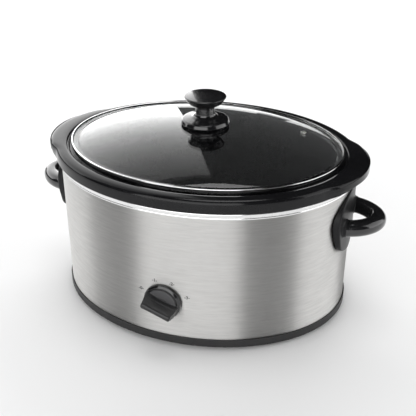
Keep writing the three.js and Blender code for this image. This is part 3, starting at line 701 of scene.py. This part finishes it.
def add_trim():
    """Polished ring on the wall's upper edge, with a rolled shoulder and a fine step under it."""
    out = (trim_high.y - trim_low.y) / 2
    low, top = trim_low.z, trim_high.z
    inner = WALL_TOP_B + GAP
    profile = rounded([
        (inner, low, 0), (out - 0.3, low, 0.3), (out - 0.3, low + 1.3, 0.2), (out - 0.55, low + 1.7, 0.2),
        (out - 0.55, low + 2.2, 0.2), (out, low + 2.7, 0.4), (out, top, 2.4), (out - TRIM_WIDTH, top, 0.4),
        (out - TRIM_WIDTH, top - 1, 0.3), (inner, top - 1, 0.5),
    ])
    show(oval("steel_trim_ring", profile), "polished_steel", "housing", "trim_ring")


def add_well():
    """Pressed heating well that the crock sits in."""
    offset = CROCK_GAP
    thick = WELL_THICK
    top, floor = well_high.z, well_low.z
    mouth = crock_b(shell_high.z)
    side = crock_b(CROCK_HEEL)
    rim = WALL_TOP_B - WALL_THICK - GAP
    profile = rounded([
        (0, floor, 0), (side - 21 + offset + thick, floor, 10),
        (side - 7 + offset + thick, CROCK_HEEL - 18, 8),
        (side + offset + thick, CROCK_HEEL, 10), (mouth + offset + thick, top - thick, 1.6),
        (rim, top - thick, 0.3), (rim, top, 0.3), (mouth + offset, top, 1.6),
        (side + offset, CROCK_HEEL, 10), (side - 7 + offset, CROCK_HEEL - 17.4, 8),
        (side - 21 + offset, floor + thick, 10), (0, floor + thick, 0),
    ])
    show(oval("well_liner", profile), "well_aluminium", "housing", "heating_well")


def crock_shape(place, point):
    """Draws the rim out into a lug at each end."""
    length, lift = point[2], point[3]
    distance = abs(place.y)
    if length <= 0 or distance >= EAR_HALF:
        return place
    start = min(1.0, (EAR_HALF - distance) / EAR_START)
    ease = start * start * (3 - 2 * start)
    bulge = ease * (1 - (distance / EAR_HALF) ** 2) ** 0.5
    side = 1 if place.x > 0 else -1
    return place + Vector((side * EAR_LENGTH * bulge * length, 0, EAR_LIFT * bulge * lift))


def add_crock():
    """Glazed stoneware pot: rolled rim, lid recess, ledge and a lug at each end."""
    under, top = trim_high.z + GAP, crock_high.z
    ledge = top - 5.4
    side = crock_b(CROCK_HEEL)
    neck_in = NECK_B - CROCK_WALL
    bottom = crock_low.z
    # half depth, height, share of the lug's length, share of its lift, corner radius
    profile = rounded([
        (0, bottom, 0, 0, 0), (side - 24, bottom, 0, 0, 5), (side - 17, bottom + 2, 0, 0, 6),
        (side - 7, CROCK_HEEL - 15, 0, 0, 8), (side, CROCK_HEEL, 0, 0, 10), (NECK_B, under - 3, 0, 0, 2),
        (NECK_B + 2.6, under, 0, 0, 1.2), (RIM_B - 0.9, under, 0.6, 1, 0.7),
        (RIM_B, under + 1.2, 0.72, 1, 0.8), (RIM_B, under + 6.6, 0.97, 0.5, 3),
        (RIM_B - 0.2, top - 4.4, 1, 0, 2), (RIM_B - 1.3, top - 2, 1, 0, 1.4),
        (RIM_B - 4, top - 0.6, 0.95, 0, 2), (RIM_B - 9, top, 0.4, 0, 2.5),
        (RECESS_B + 3.4, top - 0.3, 0, 0, 2), (RECESS_B + 0.6, top - 1.6, 0, 0, 1.6),
        (RECESS_B, ledge + 0.8, 0, 0, 0.6), (RECESS_B - 0.6, ledge, 0, 0, 0.5),
        (RECESS_B - 9.6, ledge, 0, 0, 1), (neck_in - 0.4, ledge - 1.4, 0, 0, 1),
        (neck_in - 0.9, ledge - 6, 0, 0, 3),
        (side - CROCK_WALL, CROCK_HEEL, 0, 0, 10), (side - CROCK_WALL - 2, CROCK_HEEL - 7, 0, 0, 4),
        (side - CROCK_WALL - 9, CROCK_HEEL - 14, 0, 0, 6), (side - CROCK_WALL - 22, bottom + 7.4, 0, 0, 6),
        (0, bottom + CROCK_WALL, 0, 0, 0),
    ])
    crock = oval("glazed_crock", profile, shape=crock_shape, sharp=60)
    show(crock, "black_stoneware", "crock", "stoneware_crock")


def dome_height(share):
    """Height of the dome's upper face at a share of the way to its edge."""
    inside = min(1.0, share / GLASS_LAND)
    return glass_high.z - GLASS_RISE + GLASS_RISE * (1 - inside ** 2) ** 0.92


def add_lid():
    """Domed glass in its steel band, with the vent eyelet."""
    shares = [0.985, 0.965, *(GLASS_LAND * math.cos(math.pi / 2 * k / 24) for k in range(24))]
    upper = [(GLASS_B * share, dome_height(share)) for share in shares]
    lower = [(b, z - GLASS_THICK) for b, z in reversed(upper)]
    edge = glass_high.z - GLASS_RISE
    profile = [(0, glass_high.z - GLASS_THICK), *lower, (GLASS_B - 0.8, edge - GLASS_THICK),
               (GLASS_B - 0.2, edge - GLASS_THICK + 0.3), (GLASS_B, edge - GLASS_THICK + 1),
               (GLASS_B, edge - 1), (GLASS_B - 0.2, edge - 0.3), (GLASS_B - 0.8, edge), *upper,
               (0, glass_high.z)]
    glass = oval("glass_dome", profile, stretch=dome_stretch)
    vent_low, vent_high = frame_mm("steam_vent")
    vent = (vent_low + vent_high) / 2
    below, above = 150, 260
    drill(glass, [
        cylinder_tool(LID_SCREW_HOLE, below, above, (0, OVAL_Y, 0)),
        cylinder_tool(VENT_HOLE, below, above, (vent.x, vent.y, 0)),
    ])
    show(glass, "lid_glass", "lid", "lid_glass")

    inner = LID_B - 0.8
    low, top = band_low.z, band_high.z
    lip = edge - GLASS_THICK - GAP
    band = rounded([
        (inner, low, 0.2), (LID_B, low, 0.3), (LID_B, top, 0.9), (inner - 1, top, 0.3),
        (inner - 1, top - 0.8, 0.2), (inner, top - 0.8, 0.2), (inner, lip, 0.2), (inner - 1, lip, 0.2),
        (inner - 1, lip - 0.8, 0.2), (inner, lip - 0.8, 0.2),
    ])
    show(oval("lid_edge_band", band), "polished_steel", "lid", "lid_band")

    radius = (vent_high.x - vent_low.x) / 2
    neck, bore = radius - 1.3, radius - 2.3
    eyelet = rounded([
        (bore, vent_low.z, 0), (neck, vent_low.z, 0), (neck, vent_high.z - 0.9, 0.2),
        (radius, vent_high.z - 0.9, 0.2), (radius - 0.2, vent_high.z, 0.5), (bore, vent_high.z, 0.4),
    ])
    piece = turned("vent_eyelet", eyelet, (vent.x, vent.y))
    show(piece, "plated_steel", "lid", "steam_vent")


def add_lid_knob():
    """Flared knob on a neck and the bevelled base flange under it."""
    centre = (0.0, OVAL_Y)
    top, low = knob_high.z, knob_low.z
    radius = (knob_high.x - knob_low.x) / 2
    disc = top - 9.5
    neck = 10.3
    bore = 2.4
    knob = rounded([
        (bore, low, 0), (neck + 0.9, low, 0.5), (neck + 0.3, low + 1.6, 1), (neck, disc - 3.4, 2),
        (neck + 1.8, disc - 0.9, 1.6), (radius - 5, disc, 1.2), (radius - 0.5, top - 3, 1),
        (radius, top - 2.1, 0.5), (radius - 0.7, top - 1.3, 0.7), (radius * 0.7, top - 0.62, 3),
        (radius * 0.35, top - 0.12, 3), (0, top, 0),
        (0, disc - 1, 0), (bore, disc - 1, 0),
    ])
    show(turned("knob_top", knob, centre), "black_phenolic", "lid", "lid_knob")

    flange = (flange_high.x - flange_low.x) / 2
    lip, boss = flange_low.z, flange_high.z
    shoulder = boss - 1.4
    base = rounded([
        (bore, lip + 1.2, 0), (20, lip + 1.2, 0.5), (21.4, lip, 0.5), (flange - 0.5, lip, 0.3),
        (flange, lip + 0.8, 0.5), (flange - 1.6, shoulder - 2.3, 0.9), (flange - 2.9, shoulder - 1.6, 1.2),
        (neck + 4.5, shoulder, 2), (neck + 2.5, boss, 0.8), (bore, boss, 0),
    ])
    show(turned("knob_flange", base, centre), "black_phenolic", "lid", "lid_knob_base")


# ---- side handles ----
def plate_outline(count=120):
    """Outline of the escutcheon plate as (y, z) about the handle's centre line, anticlockwise."""
    right = [(PLATE_HALF - 4, -8), (PLATE_HALF, 12), (PLATE_HALF - 7, 26), (25, PLATE_TOP - 4)]
    left = [(-y, z) for y, z in reversed(right)]
    lower = PLATE_BOTTOM + 11
    corners = [*right[1:], (0, PLATE_TOP), *left, (15 - PLATE_HALF, lower), (0, PLATE_BOTTOM),
               (PLATE_HALF - 15, lower), right[0]]
    total = len(corners)
    points = []
    for k in range(count):
        place = k * total / count
        i = int(place)
        t = place - i
        p0, p1, p2, p3 = (Vector(corners[(i + n - 1) % total]) for n in range(4))
        points.append(0.5 * (2 * p1 + (p2 - p0) * t + (2 * p0 - 5 * p1 + 4 * p2 - p3) * t ** 2
                             + (3 * p1 - p0 - 3 * p2 + p3) * t ** 3))
    return points


def plate_face(y):
    """Depth of the plate's face: bowed, but flatter than the wall."""
    return wall_x(0, HANDLE_Z) + PLATE_PROUD - PLATE_BOW * (y / PLATE_BOW_AT) ** 2


def handle_plate():
    """The escutcheon: its back follows the wall, its face is bowed and has a rounded edge."""
    outline = plate_outline()
    bm = bmesh.new()
    edge = 2.0
    least_thickness = 1.6

    def ring(places, depth):
        """A loop of vertices. depth gives x from y and z."""
        return [bm.verts.new((depth(place.x, place.y), place.x, HANDLE_Z + place.y)) for place in places]

    def inset(distance, depth):
        places = []
        for i, point in enumerate(outline):
            along = (outline[(i + 1) % len(outline)] - outline[i - 1]).normalized()
            inward = Vector((-along.y, along.x))
            places.append(point + inward * distance)
        return ring(places, depth)

    def scaled(share, depth):
        return ring([point * share for point in outline], depth)

    def back(y, z):
        return wall_x(y, HANDLE_Z + z, GAP)

    def face_less(drop):
        return lambda y, z: max(plate_face(y), wall_x(y, HANDLE_Z + z) + least_thickness) - drop

    rings = [scaled(0.05, back), scaled(0.35, back), scaled(0.7, back), inset(0.0, back)]
    for k in range(5):
        turn = math.pi / 2 * k / 4
        rings.append(inset(edge * (1 - math.cos(turn)) * 0.6, face_less(edge * (1 - math.sin(turn)) * 0.6)))
    for share in (0.9, 0.75, 0.55, 0.3, 0.05):
        rings.append(scaled(share, face_less(0)))
    loft(bm, rings)
    return finish_mesh("plate", bm, weighted=False)


def loop_point(t):
    """Centre line of the grip loop: straight roots and a rounded front."""
    start = wall_x(HANDLE_HALF, HANDLE_Z) + 1
    reach = handle_reach - BAR_WIDE / 2 - start
    side = 1 if t < 0.5 else -1
    from_end = min(t, 1 - t)
    straight = 0.1
    sunk = 8
    if from_end < straight:
        return Vector((start - sunk * (1 - from_end / straight), side * HANDLE_HALF, HANDLE_Z))
    angle = math.pi / 2 * (1 - (from_end - straight) / (0.5 - straight))
    power = 2 / 1.8
    return Vector((start + reach * math.cos(angle) ** power,
                   side * HANDLE_HALF * max(0.0, math.sin(angle)) ** power, HANDLE_Z))


def handle_bar(steps=96, sides=36):
    """The loop: a bar with a softly squared section that flares where it meets the plate."""
    bm = bmesh.new()
    rings = []
    face = wall_x(HANDLE_HALF, HANDLE_Z)
    flare_height, flare_length = 3.2, 9.0
    squareness = 0.82
    for i in range(steps + 1):
        t = i / steps
        here = loop_point(t)
        along = (loop_point(min(1, t + 0.004)) - loop_point(max(0, t - 0.004))).normalized()
        across = Vector((0, 0, 1)).cross(along).normalized()
        flare = max(0.0, 1 - max(0.0, here.x - face) / flare_length) ** 2 * flare_height
        ring = []
        for k in range(sides):
            angle = 2 * math.pi * k / sides
            c, s = math.cos(angle), math.sin(angle)
            wide = math.copysign(abs(c) ** squareness, c) * (BAR_WIDE / 2 + flare * 0.8)
            tall = math.copysign(abs(s) ** squareness, s) * (BAR_TALL / 2 + flare)
            ring.append(bm.verts.new(here + across * wide + Vector((0, 0, tall))))
        rings.append(ring)
    loft(bm, rings)
    return finish_mesh("bar", bm, weighted=False)


def keep_outside_wall(piece):
    """Moves what lies inside the wall's outer face out to it, so that the back fits the wall."""
    for vertex in piece.data.vertices:
        x, y, z = (c / MM for c in vertex.co)
        face = wall_x(y, z, GAP)
        if x < face:
            vertex.co.x = face * MM


def add_handles():
    """Two identical mouldings, the second turned half round, each with a satin plate and a gloss loop."""
    moulding = fused("right_loop_handle", [handle_plate(), handle_bar()], 0.8, 4)
    keep_outside_wall(moulding)
    plate_end = wall_x(0, HANDLE_Z) + PLATE_PROUD + 0.8
    finishes = [1 if face.center.x / MM < plate_end else 0 for face in moulding.data.polygons]
    turned_mesh = moulding.data.copy()
    turned_mesh.transform(Matrix.Rotation(math.pi, 4, "Z"))
    other = placed("left_loop_handle", turned_mesh)
    for piece, node in ((moulding, "right_handle"), (other, "left_handle")):
        piece.data.transform(Matrix.Translation((0, OVAL_Y * MM, 0)))
        show(piece, "black_phenolic", "housing", node)
        add_finishes(piece, finishes, "plate_phenolic")


# ---- control knob ----
def finish_of_knob(place):
    """0 for the gloss skirt, 1 for the satin grip, 2 for the matt face beside the grip, painted grey as a
    painted reflection.
    """
    skirt_width, skirt_top = 3.6, 6.8
    face_edge, face_low, face_high = 4.3, 6.2, 7.3
    grip_half = 6.4
    from_axis = math.hypot(place.x, place.y)
    if from_axis > SELECTOR_RADIUS - skirt_width and place.z < skirt_top:
        return 0
    on_face = from_axis < SELECTOR_RADIUS - face_edge and face_low < place.z < face_high
    return 2 if on_face and abs(place.x) > grip_half else 1


def add_selector():
    """Knob with a stepped skirt and a raised, scooped grip across it."""
    radius = SELECTOR_RADIUS
    bore, hollow, face, groove = 3.6, 4.0, 6.9, 5.0
    skirt = rounded([
        (bore, hollow, 0), (12, hollow, 0.5), (18.2, 0, 0.5), (radius - 0.4, 0, 0.3), (radius, 0.6, 0.4),
        (radius, 3.6, 0.5), (radius - 2.7, 5.6, 0.6), (radius - 3.2, groove, 0.2),
        (radius - 3.8, groove, 0.2), (radius - 4.2, 6.6, 0.5), (9, face, 2), (bore, face, 0),
    ])
    knob = fused("selector_knob", [turned("skirt", skirt), grip_bar(radius)], 0.32, 2)
    finishes = [finish_of_knob(face.center / MM) for face in knob.data.polygons]
    turn = Matrix.Rotation(math.radians(SELECTOR_ANGLE), 4, "Z")
    stand = Matrix.Rotation(math.radians(90), 4, "X")
    knob.data.transform(stand @ turn)
    knob.data.transform(Matrix.Translation((0, selector_high.y * MM, SELECTOR_Z * MM)))
    show(knob, "black_phenolic", "selector", "control_knob")
    # Finish 2 paints the face beside the grip lighter grey, as a painted reflection.
    add_finishes(knob, finishes, "satin_phenolic", "matt_phenolic_painted_reflection")


def grip_bar(radius):
    """The bar across the knob: scooped flanks with a ledge, under a rounded nose."""
    nose_low, crown = 18.1, selector_high.y - selector_low.y
    root, root_end, root_waist = 6.0, 7.7, 5.3
    nose_end, nose_waist = 4.6, 4.1
    ledge_share = 0.56  # of the flank's height
    lean_from, lean = 7.4, 3.0  # how far the ends lean in above the skirt
    droop_share, droop = 0.14, 1.4  # of the nose at both ends
    bm = bmesh.new()
    rings = []
    stations = 56
    for i in range(stations + 1):
        share = -1 + 2 * i / stations
        root_half = root_waist + (root_end - root_waist) * share ** 2
        nose_half = nose_waist + (nose_end - nose_waist) * share ** 2
        half = []
        for k in range(17):
            t = k / 16
            ledge = 1.0 if t < ledge_share else 0.0
            half.append((root_half + (nose_half - root_half) * t ** 0.6 + ledge * t,
                         root + (nose_low - root) * t))
        for k in range(1, 9):
            turn = math.pi / 2 * k / 8
            half.append((nose_half * math.cos(turn) ** 0.7,
                         nose_low + (crown - nose_low) * math.sin(turn) ** 1.15))
        outline = half + [(-x, z) for x, z in reversed(half[:-1])]
        ring = []
        for x, z in outline:
            reach = radius - 0.6 - lean * max(0.0, z - lean_from) / (crown - lean_from)
            end = math.sqrt(max(1.0, reach ** 2 - x ** 2))
            past = max(0.0, abs(share) - 1 + droop_share)
            drop = droop * (past / droop_share) ** 2 if z > nose_low else 0.0
            ring.append(bm.verts.new((x, share * end, z - drop)))
        rings.append(ring)
    loft(bm, rings)
    return finish_mesh("grip", bm, weighted=False)


def add_marks():
    """Printed setting numbers round the knob, each between two dashes, wrapped on the wall."""
    places = [(-25.5, 65.5), (-9.4, 79.3), (9.7, 78.6), (25.7, 64.2)]
    letter_size, letter_weight, thickness = 5.2, 0.12, 0.05
    clear_of_wall = 0.06
    for number, (x, z) in enumerate(places):
        font = bpy.data.curves.new(f"mark_{number}", "FONT")
        font.body = f"-{number}-"
        font.size = letter_size * MM
        font.offset = letter_weight * MM
        font.align_x = "CENTER"
        font.align_y = "CENTER"
        font.extrude = thickness * MM
        drawn = placed("drawn", font)
        bpy.context.view_layer.update()
        seen = drawn.evaluated_get(bpy.context.evaluated_depsgraph_get())
        mesh = bpy.data.meshes.new_from_object(seen)
        bpy.data.objects.remove(drawn)
        for vertex in mesh.vertices:
            along, up, proud = (c / MM for c in vertex.co)
            out = clear_of_wall + max(0.0, proud)
            place = (x + along, wall_front(x + along, z + up, out), z + up)
            vertex.co = Vector(place) * MM
        piece = placed(f"setting_mark_{number}", mesh)
        mesh.materials.append(MATERIALS["print_ink"])
        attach(piece, "housing")


# ---- feet and gland ----
def add_feet():
    """Round rubber feet, each with a recess for its screw's head."""
    for corner in CORNERS:
        low, high = frame_mm(f"foot_{corner}")
        centre = ((low.x + high.x) / 2, (low.y + high.y) / 2)
        radius = (high.x - low.x) / 2
        recess, web, top = 4.4, 1.8, high.z
        profile = rounded([
            (recess, 0, 0.3), (radius - 1.2, 0, 0.4), (radius, 1, 0.5), (radius, top, 0.2),
            (SCREW_HOLE, top, 0.1), (SCREW_HOLE, top - web, 0), (recess, top - web, 0),
        ])
        show(turned(f"rubber_foot_{corner}", profile, centre), "rubber", "housing", f"foot_{corner}")


def add_gland():
    """Flanged gland where the supply lead goes in at the back."""
    low, high = frame_mm("cord_gland")
    length = high.y - low.y
    flange, bore = 3.2, 3.75
    radius = GLAND_RADIUS
    profile = rounded([
        (bore, 0, 0), (radius, 0, 0.3), (radius, length - flange, 0), (radius + 3.4, length - flange, 0.3),
        (radius + 3.0, length - 0.8, 0.6), (radius + 1.8, length, 0.5), (4.6, length, 0.4),
        (bore, length - 1, 0.4),
    ])
    gland = turned("supply_gland", profile)
    gland.data.transform(Matrix.Rotation(math.radians(-90), 4, "X"))
    gland.data.transform(Matrix.Translation((0, low.y * MM, GLAND_Z * MM)))
    show(gland, "black_phenolic", "housing", "cord_gland")


# ---- CAD nodes that stay as they are ----
KEPT = {
    "rubber": ["lid_gasket"],
    "plated_steel": [
        *(f"foot_screw_{corner}" for corner in CORNERS),
        "liner_stud", "tie_spring", "tie_washer", "tie_nut", "thermal_fuse", "switch_shaft", "knob_clip",
        "right_handle_backing", "left_handle_backing", "right_handle_screw_front",
        "right_handle_screw_rear", "left_handle_screw_front", "left_handle_screw_rear", "lid_washer",
        "lid_screw",
    ],
    "heater_mica": ["heater_band"],
    "felt": ["heater_felt"],
    "ceramic": ["selector_switch", "terminal_block"],
    "brass": ["switch_nut"],
    "black_phenolic": ["gland_nut"],
    "lead_insulation": ["lead_live", "lead_low", "lead_high"],
}


def dress_kept_nodes():
    for slot, names in KEPT.items():
        for name in names:
            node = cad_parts[name]
            node.data.materials.clear()
            node.data.materials.append(MATERIALS[slot])


add_camera()
add_studio()
MATERIALS = make_materials()
add_wall()
add_base()
add_trim()
add_well()
add_crock()
add_lid()
add_lid_knob()
add_handles()
add_selector()
add_marks()
add_feet()
add_gland()
dress_kept_nodes()
